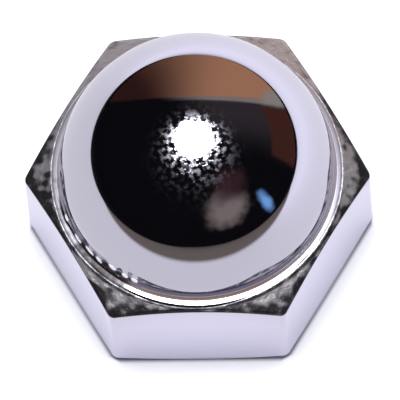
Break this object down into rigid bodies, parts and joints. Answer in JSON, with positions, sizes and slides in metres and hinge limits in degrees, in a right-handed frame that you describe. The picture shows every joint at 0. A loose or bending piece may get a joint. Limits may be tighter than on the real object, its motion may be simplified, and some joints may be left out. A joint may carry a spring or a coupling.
{
  "type": "cap nut",
  "caption": "Chrome-plated steel cap nut: a hexagon with a turned, chamfered shoulder and a half-ball dome that closes its threaded hole.",
  "frame": {"origin": "centre of the bearing face, on the axis of the thread", "axes": "+Z along the thread's axis towards the dome; +X through a corner of the hexagon; +Y square to a wrench flat"},
  "size_m": [0.0194, 0.017, 0.0152],
  "materials": {
    "chrome_plate": "bright polished chrome plate with fine pits, duller on the chamfered corners"
  },
  "bodies": {
    "root": {"cap_nut": "chrome_plate"}
  },
  "joints": []
}
